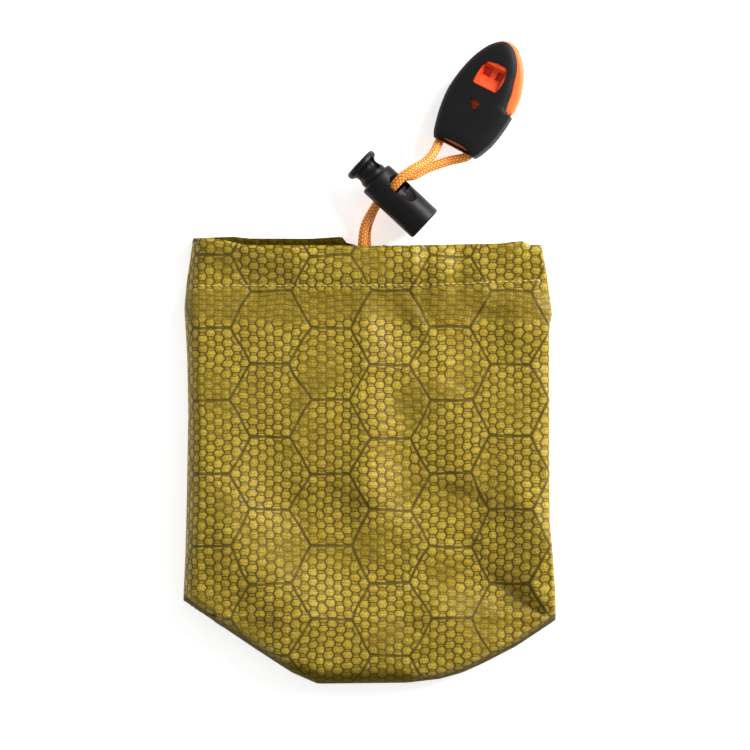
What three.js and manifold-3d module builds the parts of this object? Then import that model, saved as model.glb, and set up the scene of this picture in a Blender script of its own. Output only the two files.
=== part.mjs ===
// A small drawstring stuff sack, lying flat on its back, with its drawcord, cord lock and whistle.
// Millimetres, +Z up, +Y towards the mouth. The origin is under the middle of the sack's cloth.
import * as THREE from "three";
import { mergeVertices } from "three/addons/utils/BufferGeometryUtils.js";
import Module from "manifold-3d";

const wasm = await Module();
wasm.setup();

// Cloth: wall, doubled hem, and how far the nearly empty sack stands open
const WALL = 1.0;
const HEM_WALL = 1.8;
const BELLY_HEIGHT = 12.6;
const MOUTH_HEIGHT = 10.6;
const EDGE_TOP = 1.9; // the folded edge all round is a low rounded lip
const EDGE_UNDER = 0.7;
const SEAM_INSET = 2.6; // the hollow stops this far inside the folded edges

// Drawcord: one round braid, laid double from the hem through the lock to the whistle
const CORD_DIAMETER = 3.8;
const CORD_SIDES = 8;
const CORD_STEPS = 76;
const CLEARANCE = 0.3;

// Hem channel: its two ends meet in a notch at the centre of the back
const NOTCH = { left: -9.0, right: 6.2, bottom: 72.8, top: 82.2 };
const RIM_GAP = { left: -7.0, right: 5.2 }; // the lips of the hem above the channel's ends
const CHANNEL_END = { y: 78.4, z: 3.2, outer: 3.2, bore: 2.3, length: 14 };

// Cord lock: barrel with a sprung plunger
const BARREL_LENGTH = 27.3;
const BARREL_RADIUS = 7.5;
const BARREL_END_WALL = 1.6;
const PLUNGER_RADIUS = 5.7;
const PLUNGER_PROUD = 9.2;
const PLUNGER_HEAD = 3.2;
const PLUNGER_HEAD_RADIUS = 7.1;
const PLUNGER_NECK_RADIUS = 4.7;
const PLUNGER_TRAVEL = 4.0;
const PLUNGER_INSIDE = 14.6;
const LOCK_MOUTH = new THREE.Vector3(2.2, 112.8, 10.2);
const LOCK_TURN = -43; // degrees about +Z, from +X to the barrel's axis
const CORD_AT = 7.6; // the pair of strands crosses the barrel this far from its mouth
const BARREL_HOLE = { from: 5.1, to: 12.4, high: 9.0 };
const HOLE_LEAN = 54; // degrees above the floor at the middle of the barrel

// Whistle: black shell on an orange core, hung on the cord's loop
const WHISTLE_LENGTH = 48;
const WHISTLE_THICK = 11;
const WHISTLE_EDGE = 2.6;
const CORE_THICK = 6.4;
const CORE_INSET = 1.6;
const BAND_FROM = 19; // the core's flank shows from here to the tip
const WHISTLE_BASE = new THREE.Vector3(33.6, 124.8, 7.9);
const WHISTLE_TURN = -28.3;
const WHISTLE_ROLL = -13;
const CORD_EYE_REACH = 6.4; // the loop turns round the core this far inside the base
const CORD_EYE_HALF = 6.6;

const COLOURS = {
  cloth: 0x99852f,
  cord: 0xf5852c,
  lock: 0x1c1c1d,
  shell: 0x252526,
  core: 0xff5a30,
};

// Outline of the cloth as it lies. Rows run from left to right, or from bottom to top.
const LEFT_SIDE = [
  { y: -55.8, x: -74.8 },
  { y: -38.4, x: -74.0 },
  { y: -16.0, x: -73.4 },
  { y: 18.8, x: -72.8 },
  { y: 41.0, x: -73.2 },
  { y: 60.8, x: -74.4 },
  { y: 72.0, x: -73.4 },
  { y: 88.8, x: -70.8 },
];
const RIGHT_SIDE = [
  { y: -63.8, x: 74.4 },
  { y: -52.2, x: 74.1 },
  { y: -40.0, x: 73.2 },
  { y: -24.0, x: 71.8 },
  { y: 52.8, x: 71.8 },
  { y: 58.5, x: 72.9 },
  { y: 72.0, x: 71.2 },
  { y: 86.0, x: 68.6 },
];
const BOTTOM_EDGE = [
  { x: -74.8, y: -55.8 },
  { x: -45.3, y: -75.9 },
  { x: -31.0, y: -85.3 },
  { x: -20.8, y: -89.8 },
  { x: 14.8, y: -89.4 },
  { x: 27.9, y: -87.8 },
  { x: 36.9, y: -85.2 },
  { x: 45.2, y: -81.4 },
  { x: 58.4, y: -74.5 },
  { x: 74.4, y: -63.8 },
];
const FRONT_RIM = [
  { x: -70.8, y: 88.8 },
  { x: -64.8, y: 88.6 },
  { x: -50.0, y: 86.2 },
  { x: 10.0, y: 85.8 },
  { x: 56.0, y: 86.6 },
  { x: 65.2, y: 87.6 },
  { x: 68.6, y: 86.0 },
];
const BACK_RIM = [
  { x: -70.8, y: 88.8 },
  { x: -48.0, y: 89.8 },
  { x: -20.0, y: 88.8 },
  { x: -6.4, y: 88.2 },
  { x: 6.0, y: 85.2 },
  { x: 68.6, y: 86.0 },
];
const STITCH_LINE = [
  { x: -74, y: 69.7 },
  { x: 20, y: 69.9 },
  { x: 74, y: 72.2 },
];

// Main folds of the front, each a soft ridge (rise above 0) or trough along a line
const FOLDS = [
  { name: "seam ridge", x1: -2.6, y1: 62, x2: -3.0, y2: -18, half: 2.6, rise: 0.9 },
  { name: "facet from the hem", x1: -2.8, y1: 63, x2: 17, y2: 41, half: 3.4, rise: 1.0 },
  { name: "middle swell", x1: 7.6, y1: 34, x2: 9.6, y2: -14, half: 5.5, rise: 1.2 },
  { name: "left swell", x1: -42, y1: 8, x2: -37, y2: -42, half: 9, rise: 1.4 },
  { name: "lower left swell", x1: -30, y1: -46, x2: -6, y2: -52, half: 6, rise: 0.8 },
  { name: "lower right swell", x1: 22, y1: -48, x2: 42, y2: -52, half: 5, rise: 0.8 },
  { name: "corner swell", x1: 46, y1: -60, x2: 66, y2: -64, half: 3.6, rise: 0.7 },
  { name: "corner valley", x1: 30, y1: -14, x2: 66, y2: -54, half: 7.5, rise: -1.9 },
  { name: "right edge lift", x1: 66.5, y1: 30, x2: 67.5, y2: -13, half: 3, rise: 0.7 },
  { name: "top left dip", x1: -64, y1: 84, x2: -60, y2: 62, half: 5, rise: -0.9 },
  { name: "lower left dip", x1: -64, y1: -42, x2: -42, y2: -68, half: 6, rise: -0.9 },
  { name: "dip under the hem", x1: 42, y1: 58, x2: 69, y2: 56.5, half: 2.6, rise: -0.7 },
  { name: "crumple", x1: -17, y1: -11, x2: 11, y2: -37, half: 2.8, rise: -0.8 },
  { name: "right crumple", x1: 25, y1: -2, x2: 44, y2: -8, half: 3, rise: -0.7 },
];

const ROWS = [
  -89.8, -88.4, -85.6, -81, -75, -69, -63, -57, -51, -45, -39, -33, -27, -21, -15, -8, 0, 8, 16,
  24, 32, 40, 48, 55, 61, 66, 69, 71, 77, 83, 86,
];
const COLUMNS = 28;

function clamp01(t) {
  return Math.min(1, Math.max(0, t));
}

function smooth(t) {
  const c = clamp01(t);
  return c * c * (3 - 2 * c);
}

function lerp(a, b, t) {
  return a + (b - a) * t;
}

// The value of a short table at a place along it, on straight runs between its rows.
function along(table, key, value, at) {
  let k = 1;
  while (k < table.length - 1 && at > table[k][key]) k += 1;
  const a = table[k - 1];
  const b = table[k];
  return lerp(a[value], b[value], clamp01((at - a[key]) / (b[key] - a[key])));
}

// A ridge or trough: full on its line, faded to both sides and past its ends.
function foldRise(fold, x, y) {
  const dx = fold.x2 - fold.x1;
  const dy = fold.y2 - fold.y1;
  const t = clamp01(((x - fold.x1) * dx + (y - fold.y1) * dy) / (dx * dx + dy * dy));
  const away = Math.hypot(x - fold.x1 - t * dx, y - fold.y1 - t * dy) / fold.half;
  return fold.rise * Math.exp(-away * away);
}

function hemShare(x, y) {
  const stitch = along(STITCH_LINE, "x", "y", x);
  return (y - stitch) / (86 - stitch);
}

// Height of the front's outer face.
function frontHeight(x, y) {
  const left = along(LEFT_SIDE, "y", "x", y);
  const right = along(RIGHT_SIDE, "y", "x", y);
  const bottom = along(BOTTOM_EDGE, "x", "y", x);
  const across = clamp01(Math.abs((2 * (x - left)) / (right - left) - 1));
  const up = clamp01((y - bottom) / 52);
  const sides = Math.pow(1 - Math.pow(across, 2.6), 0.58);
  const base = Math.pow(1 - Math.pow(1 - up, 2.6), 0.62);
  const peak = lerp(BELLY_HEIGHT, MOUTH_HEIGHT, smooth((y - 10) / 70));
  const full = sides * base;
  let z = EDGE_TOP + (peak - EDGE_TOP) * full;
  for (const fold of FOLDS) z += foldRise(fold, x, y) * smooth(full * 1.6);
  const hem = hemShare(x, y);
  if (hem > 0 && hem < 1) z += 0.5 * Math.sin(Math.PI * hem) * full;
  return z;
}

function wallAt(x, y) {
  return lerp(WALL, HEM_WALL, smooth(hemShare(x, y) * 10 + 0.5));
}

// Plan place of a grid point: rows are straight near the mouth and follow the bottom edge below.
function planPoint(share, row, inset, rim) {
  const rise = clamp01((row - ROWS[0]) / (ROWS.at(-1) - ROWS[0]));
  const hang = Math.pow(1 - rise, 3);
  const top = Math.pow(rise, 8);
  const offset = (x) =>
    (along(BOTTOM_EDGE, "x", "y", x) - ROWS[0]) * hang + (along(rim, "x", "y", x) - 86) * top;
  const left = along(LEFT_SIDE, "y", "x", row + offset(-74.8)) + inset;
  const right = along(RIGHT_SIDE, "y", "x", row + offset(74.4)) - inset;
  const x = lerp(left, right, share);
  return { x, y: row + offset(lerp(-74.8, 74.4, share)) + inset * hang };
}

// A closed solid between a top and an underside that share one outline.
function blanket(rows, columns, top, under) {
  const points = [];
  for (const face of [top, under])
    for (const row of rows)
      for (const share of columns) points.push(...face(share, row));
  const wide = columns.length;
  const layer = rows.length * wide;
  const index = [];
  const quad = (a, b, c, d) => index.push(a, b, c, a, c, d);
  for (let r = 0; r < rows.length - 1; r += 1)
    for (let c = 0; c < wide - 1; c += 1) {
      const k = r * wide + c;
      quad(k, k + 1, k + wide + 1, k + wide);
      quad(layer + k, layer + k + wide, layer + k + wide + 1, layer + k + 1);
    }
  const wallBetween = (a, b) => quad(a, layer + a, layer + b, b);
  for (let c = 0; c < wide - 1; c += 1) {
    wallBetween(c, c + 1);
    const last = (rows.length - 1) * wide + c;
    wallBetween(last + 1, last);
  }
  for (let r = 0; r < rows.length - 1; r += 1) {
    wallBetween((r + 1) * wide, r * wide);
    wallBetween(r * wide + wide - 1, (r + 1) * wide + wide - 1);
  }
  const geometry = new THREE.BufferGeometry();
  geometry.setAttribute("position", new THREE.Float32BufferAttribute(points, 3));
  geometry.setIndex(index);
  return geometry;
}

// A closed geometry as a solid that can be joined and cut.
function solid(geometry) {
  const bare = geometry.clone();
  bare.deleteAttribute("normal");
  bare.deleteAttribute("uv");
  const merged = mergeVertices(bare, 1e-4);
  const vertProperties = new Float32Array(merged.attributes.position.array);
  const triVerts = new Uint32Array(merged.index.array);
  return new wasm.Manifold(new wasm.Mesh({ numProp: 3, vertProperties, triVerts }));
}

function geometryOf(made) {
  const mesh = made.getMesh();
  const geometry = new THREE.BufferGeometry();
  geometry.setAttribute("position", new THREE.BufferAttribute(mesh.vertProperties, 3));
  geometry.setIndex(new THREE.BufferAttribute(mesh.triVerts, 1));
  geometry.computeVertexNormals();
  return geometry;
}

function piece(name, geometry, colour, roughness) {
  const material = new THREE.MeshStandardMaterial({ color: colour, roughness, metalness: 0 });
  const mesh = new THREE.Mesh(geometry, material);
  mesh.name = name;
  return mesh;
}

// A round bar along +X from one place to another.
function barAlongX(radius, from, to, y, z, sides = 16) {
  const bar = new THREE.CylinderGeometry(radius, radius, to - from, sides);
  bar.rotateZ(Math.PI / 2);
  return bar.translate((from + to) / 2, y, z);
}

function rounded(width, height, radius) {
  const shape = new THREE.Shape();
  const x = width / 2;
  const y = height / 2;
  shape.moveTo(-x + radius, -y);
  shape.lineTo(x - radius, -y);
  shape.absarc(x - radius, -y + radius, radius, -Math.PI / 2, 0);
  shape.absarc(x - radius, y - radius, radius, 0, Math.PI / 2);
  shape.absarc(-x + radius, y - radius, radius, Math.PI / 2, Math.PI);
  shape.absarc(-x + radius, -y + radius, radius, Math.PI, 1.5 * Math.PI);
  return shape;
}

// The sack: one cloth with a hollow open at the mouth, and a hem whose channel ends at the notch
function sackCloth() {
  const shares = [0, 0.01];
  for (let c = 1; c < COLUMNS; c += 1) shares.push(lerp(0.012, 0.988, c / COLUMNS));
  shares.push(0.99, 1);
  const edge = (share, row) => share === 0 || share === 1 || row === ROWS[0];
  const outer = blanket(
    ROWS,
    shares,
    (share, row) => {
      const p = planPoint(share, row, 0, FRONT_RIM);
      return [p.x, p.y, edge(share, row) ? EDGE_TOP : frontHeight(p.x, p.y)];
    },
    (share, row) => {
      const p = planPoint(share, row, 0, BACK_RIM);
      return [p.x, p.y, edge(share, row) ? EDGE_UNDER : 0];
    },
  );
  const hollowRows = [...ROWS.slice(1, -1).map((row) => row + 0.6), 87, 95];
  const hollowShares = [];
  for (let c = 0; c <= COLUMNS; c += 1) hollowShares.push(c / COLUMNS);
  const hollow = blanket(
    hollowRows,
    hollowShares,
    (share, row) => {
      const p = planPoint(share, row, SEAM_INSET, FRONT_RIM);
      const z = frontHeight(p.x, Math.min(p.y, 86)) - wallAt(p.x, p.y);
      return [p.x, p.y, Math.max(z, wallAt(p.x, p.y) + 0.4)];
    },
    (share, row) => {
      const p = planPoint(share, row, SEAM_INSET, FRONT_RIM);
      return [p.x, p.y, wallAt(p.x, p.y)];
    },
  );
  let cloth = solid(outer).subtract(solid(hollow));
  const { y, z, outer: radius, bore, length } = CHANNEL_END;
  const reach = 6; // the bore runs past its mouth into the notch
  for (const [from, to, boreFrom, boreTo] of [
    [NOTCH.left - length, NOTCH.left, NOTCH.left - length + 2, NOTCH.left + reach],
    [NOTCH.right, NOTCH.right + length, NOTCH.right - reach, NOTCH.right + length - 2],
  ]) {
    cloth = cloth.add(solid(barAlongX(radius, from, to, y, z)));
    cloth = cloth.subtract(solid(barAlongX(bore, boreFrom, boreTo, y, z, 12)));
  }
  const cutBack = (left, right, bottom, top) => {
    const cut = new THREE.ExtrudeGeometry(rounded(right - left, top - bottom, 2), {
      depth: 7.4,
      bevelEnabled: false,
      curveSegments: 3,
    });
    return solid(cut.translate((left + right) / 2, (bottom + top) / 2, -1));
  };
  const notch = cutBack(NOTCH.left, NOTCH.right, NOTCH.bottom, NOTCH.top);
  const rimGap = cutBack(RIM_GAP.left, RIM_GAP.right, NOTCH.bottom, NOTCH.top + 20);
  return geometryOf(cloth.subtract(notch).subtract(rimGap));
}

// Middle line of the pair of strands across the barrel, in the lock's own frame: an S that comes
// along the floor, climbs through the hole and leaves over the far side. x: along the barrel.
function lockCrossing() {
  const lean = THREE.MathUtils.degToRad(HOLE_LEAN);
  const bend = 8.2;
  const half = 1.6; // straight run in the middle of the barrel
  const start = new THREE.Vector2(-half * Math.cos(lean), -half * Math.sin(lean));
  const points = [];
  for (let k = 0; k <= 5; k += 1) {
    const angle = (lean * k) / 5;
    const run = bend * (Math.sin(lean) - Math.sin(angle));
    const drop = bend * (Math.cos(angle) - Math.cos(lean));
    points.push({ y: start.x - run, z: start.y - drop, climb: angle });
  }
  const upper = points.map((p) => ({ y: -p.y, z: -p.z, climb: p.climb })).reverse();
  return [...points, ...upper];
}

function barrelHoleCutter() {
  const line = lockCrossing();
  const first = line[0];
  const last = line.at(-1);
  const points = [
    new THREE.Vector3(0, first.y - 8, first.z),
    ...line.map((p) => new THREE.Vector3(0, p.y, p.z)),
    new THREE.Vector3(0, last.y + 8, last.z),
  ];
  const path = new THREE.CatmullRomCurve3(points, false, "centripetal");
  const wide = BARREL_HOLE.to - BARREL_HOLE.from;
  // The section stands across the path: its wide side lies along the barrel.
  const section = rounded(wide, BARREL_HOLE.high, 2.6);
  const cutter = new THREE.ExtrudeGeometry(section, {
    steps: 22,
    curveSegments: 3,
    extrudePath: path,
    bevelEnabled: false,
  });
  const box = new THREE.Box3().setFromBufferAttribute(cutter.attributes.position);
  const middle = (box.min.x + box.max.x) / 2;
  return cutter.translate((BARREL_HOLE.from + BARREL_HOLE.to) / 2 - middle, 0, 0);
}

function latheAlongX(profile, segments = 24) {
  const points = profile.map((p) => new THREE.Vector2(p.r, p.x));
  const lathe = new THREE.LatheGeometry(points, segments);
  return lathe.rotateZ(-Math.PI / 2);
}

function lockBarrel() {
  const bore = PLUNGER_RADIUS + CLEARANCE;
  const r = BARREL_RADIUS;
  const end = BARREL_LENGTH;
  const shell = latheAlongX([
    { r: bore, x: 0 },
    { r: bore, x: end - BARREL_END_WALL },
    { r: 0, x: end - BARREL_END_WALL },
    { r: 0, x: end },
    { r: r - 1, x: end },
    { r: r - 0.25, x: end - 0.45 },
    { r, x: end - 1.2 },
    { r, x: 0.5 },
    { r: r - 0.4, x: 0 },
    { r: bore, x: 0 },
  ].reverse());
  return geometryOf(solid(shell).subtract(solid(barrelHoleCutter())));
}

function lockPlunger() {
  const head = -PLUNGER_PROUD;
  const r = PLUNGER_RADIUS;
  const body = latheAlongX([
    { r: 0, x: head },
    { r: PLUNGER_HEAD_RADIUS - 1.4, x: head },
    { r: PLUNGER_HEAD_RADIUS - 0.3, x: head + 0.8 },
    { r: PLUNGER_HEAD_RADIUS, x: head + 1.7 },
    { r: PLUNGER_HEAD_RADIUS - 0.5, x: head + 2.6 },
    { r: PLUNGER_NECK_RADIUS, x: head + PLUNGER_HEAD + 0.9 },
    { r: PLUNGER_NECK_RADIUS + 0.1, x: head + 5.4 },
    { r: r - 0.2, x: head + 6.6 },
    { r, x: head + 7.2 },
    { r, x: PLUNGER_INSIDE },
    { r: 0, x: PLUNGER_INSIDE },
  ]);
  // The slot lets the strands stay where they are while the plunger is pressed in.
  const from = CORD_AT - CORD_DIAMETER / 2 - 0.9 - PLUNGER_TRAVEL;
  const to = CORD_AT + CORD_DIAMETER / 2 + 1.1;
  const slot = new THREE.ExtrudeGeometry(rounded(to - from, 9.4, 1.2), {
    depth: 30,
    bevelEnabled: false,
    curveSegments: 2,
  });
  slot.translate((from + to) / 2, 0, -15);
  slot.rotateX(-THREE.MathUtils.degToRad(90 - HOLE_LEAN));
  const hollow = new THREE.SphereGeometry(2.6, 12, 8);
  hollow.scale(1.15, 0.9, 1).translate(-4.3, 4.3, 3.4);
  return geometryOf(solid(body).subtract(solid(slot)).subtract(solid(hollow)));
}

// Half width of the whistle at a distance from its base, blunt at the tip.
const WHISTLE_WIDTHS = [
  { y: 0, half: 9.2 },
  { y: 5, half: 10.9 },
  { y: 11, half: 12.5 },
  { y: 18, half: 13.4 },
  { y: 25, half: 13.3 },
  { y: 32, half: 12.1 },
  { y: 38, half: 10.2 },
  { y: 43, half: 7.7 },
  { y: 46.4, half: 4.9 },
];

function whistleOutline(inset) {
  const right = WHISTLE_WIDTHS.map((w) => new THREE.Vector2(w.half - inset, w.y));
  const left = WHISTLE_WIDTHS.map((w) => new THREE.Vector2(inset - w.half, w.y)).reverse();
  const tip = new THREE.Vector2(0, WHISTLE_LENGTH - inset);
  const shape = new THREE.Shape();
  shape.moveTo(left.at(-1).x, left.at(-1).y + inset);
  shape.lineTo(right[0].x, right[0].y + inset);
  right[0].y += inset;
  left.at(-1).y += inset;
  shape.splineThru([...right.slice(1, -1), new THREE.Vector2(5.2 - inset / 2, 46.2 - inset)]);
  shape.splineThru([tip, new THREE.Vector2(inset / 2 - 5.2, 46.2 - inset)]);
  shape.splineThru(left.slice(1));
  return shape;
}

// A slab of the whistle's outline with rounded long edges, centred on its own mid plane.
function whistleSlab(inset, thick, edge) {
  const slab = new THREE.ExtrudeGeometry(whistleOutline(inset + edge), {
    depth: thick - 2 * edge,
    curveSegments: 3,
    bevelEnabled: edge > 0,
    bevelThickness: edge,
    bevelSize: edge,
    bevelSegments: 2,
  });
  return slab.translate(0, 0, -(thick - 2 * edge) / 2);
}

// Middle line of the cord's loop inside the whistle's base.
function eyeLine() {
  const points = [];
  for (let k = 0; k <= 8; k += 1) {
    const angle = Math.PI * (1 - k / 8);
    const x = CORD_EYE_HALF * Math.cos(angle);
    points.push(new THREE.Vector3(x, CORD_EYE_REACH * Math.sin(angle), 0));
  }
  return points;
}

function tube(points, diameter, steps, sides) {
  const path = new THREE.CatmullRomCurve3(points, false, "centripetal");
  const ring = new THREE.Shape();
  for (let k = 0; k < sides; k += 1) {
    const angle = ((k + 0.5) / sides) * 2 * Math.PI;
    const place = [(Math.cos(angle) * diameter) / 2, (Math.sin(angle) * diameter) / 2];
    if (k === 0) ring.moveTo(...place);
    else ring.lineTo(...place);
  }
  return new THREE.ExtrudeGeometry(ring, { steps, extrudePath: path, bevelEnabled: false });
}

function eyeTunnel(diameter) {
  const line = eyeLine();
  const mouths = [-CORD_EYE_HALF, CORD_EYE_HALF].map((x) => new THREE.Vector3(x, -7, 0));
  return solid(tube([mouths[0], ...line, mouths[1]], diameter, 16, 8));
}

function boxAt(wide, deep, high, x, y, z) {
  return new THREE.BoxGeometry(wide, deep, high).translate(x, y, z);
}

function windowCutter(grow, depth) {
  const shape = new THREE.Shape();
  const wide = { low: 5.1 + grow, high: 3.7 + grow };
  shape.moveTo(-wide.low, 27 - grow);
  shape.lineTo(wide.low, 27 - grow);
  shape.lineTo(wide.high, 38.2 + grow);
  shape.lineTo(-wide.high, 38.2 + grow);
  const cutter = new THREE.ExtrudeGeometry(shape, { depth, bevelEnabled: false });
  return solid(cutter.translate(0.6, 0, WHISTLE_THICK / 2 + 1 - depth));
}

function whistleShell() {
  const outer = solid(whistleSlab(0, WHISTLE_THICK, WHISTLE_EDGE));
  const pocket = solid(whistleSlab(CORE_INSET - CLEARANCE, CORE_THICK + 2 * CLEARANCE, 0));
  const band = boxAt(40, 40, CORE_THICK + 4 * CLEARANCE, 0, BAND_FROM + 20, 0);
  const slot = boxAt(17.8, 8, CORD_DIAMETER + 2.2, 0, 0, 0);
  const peep = new THREE.CylinderGeometry(1.7, 1.7, 6, 3);
  peep.rotateX(Math.PI / 2).translate(0.4, 20.6, 5);
  return outer
    .subtract(pocket)
    .subtract(solid(band))
    .subtract(windowCutter(0, 5))
    .subtract(solid(slot))
    .subtract(solid(peep))
    .subtract(eyeTunnel(CORD_DIAMETER + 1.4));
}

function whistleCore() {
  const inner = solid(whistleSlab(CORE_INSET, CORE_THICK, 0));
  const flank = solid(whistleSlab(0.3, CORE_THICK, 1));
  const tipHalf = solid(boxAt(40, 40, CORE_THICK, 0, BAND_FROM + CLEARANCE + 20, 0));
  let core = inner.add(flank.intersect(tipHalf));
  for (const side of [-1, 1]) {
    const chamber = boxAt(3.2, 6.4, 2.4, 0.6 + side * 2.1, 35.6, CORE_THICK / 2 - 1);
    const blowSlot = boxAt(3.2, 14, 1.5, 0.6 + side * 2.1, 42, 0.9);
    core = core.subtract(solid(chamber)).subtract(solid(blowSlot));
  }
  return core.subtract(eyeTunnel(CORD_DIAMETER + 1.1));
}

// Lock and whistle are placed as two groups, so that the cord's route can be worked out in them.
const lock = new THREE.Group();
lock.position.copy(LOCK_MOUTH);
lock.rotation.z = THREE.MathUtils.degToRad(LOCK_TURN);
lock.updateMatrix();

const whistle = new THREE.Group();
whistle.position.copy(WHISTLE_BASE);
whistle.rotation.order = "ZYX";
whistle.rotation.z = THREE.MathUtils.degToRad(WHISTLE_TURN);
whistle.rotation.y = THREE.MathUtils.degToRad(WHISTLE_ROLL);
whistle.updateMatrix();

// One strand across the barrel. The strands run one above the other: side is 1 for the upper.
function strandInLock(side) {
  const apart = (CORD_DIAMETER / 2 + 0.12) * side;
  return lockCrossing().map((p) => {
    const y = p.y - apart * Math.sin(p.climb);
    const z = p.z + apart * Math.cos(p.climb);
    return new THREE.Vector3(CORD_AT, y, z).applyMatrix4(lock.matrix);
  });
}

// Free stretches of the route, chosen by hand from the lie of the cord.
const HEM_TO_LOCK = {
  upper: [
    [-20.4, 78.4, 3.2],
    [-15, 78.4, 3.2],
    [-10, 78.4, 3.2],
    [-5.7, 79.8, 4.2],
    [-3.4, 83.3, 5.4],
    [-2.9, 88, 6.0],
    [-1.9, 94, 6.1],
  ],
  lower: [
    [17.6, 78.4, 3.2],
    [12.4, 78.4, 3.2],
    [7.2, 78.4, 3.1],
    [2.4, 79.7, 2.5],
    [-0.4, 83, 2.15],
    [-1.5, 88, 2.1],
    [-0.9, 94, 2.1],
  ],
};
const LOCK_TO_WHISTLE = {
  upper: [
    [17.4, 116.3, 15.9],
    [22.0, 119.0, 13.2],
    [25.3, 122.6, 10.6],
  ],
  lower: [
    [17.2, 113.7, 12.0],
    [22.2, 116.3, 10.4],
    [27.2, 118.3, 9.0],
    [32.0, 119.8, 8.1],
  ],
};

function drawcordLine() {
  const place = (p) => new THREE.Vector3(...p);
  const eye = eyeLine().map((p) => p.applyMatrix4(whistle.matrix));
  return [
    ...HEM_TO_LOCK.upper.map(place),
    ...strandInLock(1),
    ...LOCK_TO_WHISTLE.upper.map(place),
    ...eye,
    ...LOCK_TO_WHISTLE.lower.map(place).reverse(),
    ...strandInLock(-1).reverse(),
    ...HEM_TO_LOCK.lower.map(place).reverse(),
  ];
}

const sack = new THREE.Group();
sack.add(piece("sack_cloth", sackCloth(), COLOURS.cloth, 0.75));
const cordGeometry = tube(drawcordLine(), CORD_DIAMETER, CORD_STEPS, CORD_SIDES);
sack.add(piece("drawcord", cordGeometry, COLOURS.cord, 0.6));
lock.add(piece("lock_barrel", lockBarrel(), COLOURS.lock, 0.45));
lock.add(piece("lock_plunger", lockPlunger(), COLOURS.lock, 0.45));
sack.add(lock);
whistle.add(piece("whistle_shell", geometryOf(whistleShell()), COLOURS.shell, 0.6));
whistle.add(piece("whistle_core", geometryOf(whistleCore()), COLOURS.core, 0.4));
sack.add(whistle);

export default sack;
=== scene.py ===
import math
from functools import partial

import bmesh
import bpy
from mathutils import Matrix, Vector, noise


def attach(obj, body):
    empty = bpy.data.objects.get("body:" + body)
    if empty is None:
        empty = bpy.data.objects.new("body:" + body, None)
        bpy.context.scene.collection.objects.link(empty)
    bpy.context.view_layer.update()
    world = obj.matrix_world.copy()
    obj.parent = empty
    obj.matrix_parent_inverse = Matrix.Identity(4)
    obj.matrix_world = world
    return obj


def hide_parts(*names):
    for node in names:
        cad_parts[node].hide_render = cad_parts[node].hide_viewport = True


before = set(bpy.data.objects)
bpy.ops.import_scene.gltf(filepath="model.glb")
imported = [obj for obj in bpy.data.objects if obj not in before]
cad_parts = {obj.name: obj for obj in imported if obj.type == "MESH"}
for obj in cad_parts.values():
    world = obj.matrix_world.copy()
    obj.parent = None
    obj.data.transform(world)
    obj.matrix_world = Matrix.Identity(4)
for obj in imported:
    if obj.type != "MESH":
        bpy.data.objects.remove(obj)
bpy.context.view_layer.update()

MM = 0.001  # the shapes below are worked out in millimetres


def place(x, y, z):
    return Vector((x * MM, y * MM, z * MM))


# Camera: straight above, as far off as a long lens stands, with the photograph's framing
VIEW_WIDTH = 300.0
VIEW_CENTRE = (2.0, 34.0)
CAMERA_HEIGHT = 2400.0
VIEW_LEVEL = 10.0  # where the view is that wide, about the top of the cloth
camera_data = bpy.data.cameras.new("camera")
camera_data.sensor_width = 36.0
camera_data.lens = camera_data.sensor_width * (CAMERA_HEIGHT - VIEW_LEVEL) / VIEW_WIDTH
camera_data.clip_end = 10.0
camera = bpy.data.objects.new("camera", camera_data)
camera.location = place(*VIEW_CENTRE, CAMERA_HEIGHT)
bpy.context.scene.collection.objects.link(camera)
bpy.context.scene.camera = camera


def clamp01(t):
    return min(1.0, max(0.0, t))


def smooth(t):
    t = clamp01(t)
    return t * t * (3.0 - 2.0 * t)


def lerp(a, b, t):
    return a + (b - a) * t


def along(table, at):
    """The value of a short table of (place, value) rows, on straight runs between them."""
    for (p, a), (q, b) in zip(table, table[1:]):
        if at <= q:
            return lerp(a, b, clamp01((at - p) / (q - p)))
    return table[-1][1]


def hashed(*keys):
    """A fixed number from 0 to 1 for whole-number keys."""
    value = math.sin(sum(k * f for k, f in zip(keys, (12.9898, 78.233, 37.719)))) * 43758.5453
    return value - math.floor(value)


# Pieces


def piece_from(bm, name, material, body="sack"):
    """Turns a bmesh into a shaded piece that rides on a body."""
    mesh = bpy.data.meshes.new(name)
    bm.to_mesh(mesh)
    bm.free()
    mesh.materials.append(material)
    for face in mesh.polygons:
        face.use_smooth = True
    piece = bpy.data.objects.new(name, mesh)
    bpy.context.scene.collection.objects.link(piece)
    if body:
        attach(piece, body)
    return piece


def mapped_grid(across, up, shape, flat=None, level=None):
    """A grid whose points are moved by shape(u, v), in millimetres. flat(u, v) gives its UV, and
    level(u, v) a value that is kept as the attribute level."""
    bm = bmesh.new()
    bmesh.ops.create_grid(bm, x_segments=across, y_segments=up, size=0.5)
    if level:
        levels = bm.verts.layers.float.new("level")
        for vert in bm.verts:
            vert[levels] = level(vert.co.x + 0.5, vert.co.y + 0.5)
    layer = bm.loops.layers.uv.new("flat")
    for face in bm.faces:
        for loop in face.loops:
            u, v = loop.vert.co.x + 0.5, loop.vert.co.y + 0.5
            loop[layer].uv = flat(u, v) if flat else (u, v)
    for vert in bm.verts:
        vert.co = place(*shape(vert.co.x + 0.5, vert.co.y + 0.5))
    return bm


def weld(bm, distance=0.01):
    bmesh.ops.remove_doubles(bm, verts=bm.verts, dist=distance * MM)


def close_ends(bm):
    bmesh.ops.holes_fill(bm, edges=[e for e in bm.edges if e.is_boundary], sides=0)
    bmesh.ops.recalc_face_normals(bm, faces=bm.faces)


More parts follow.
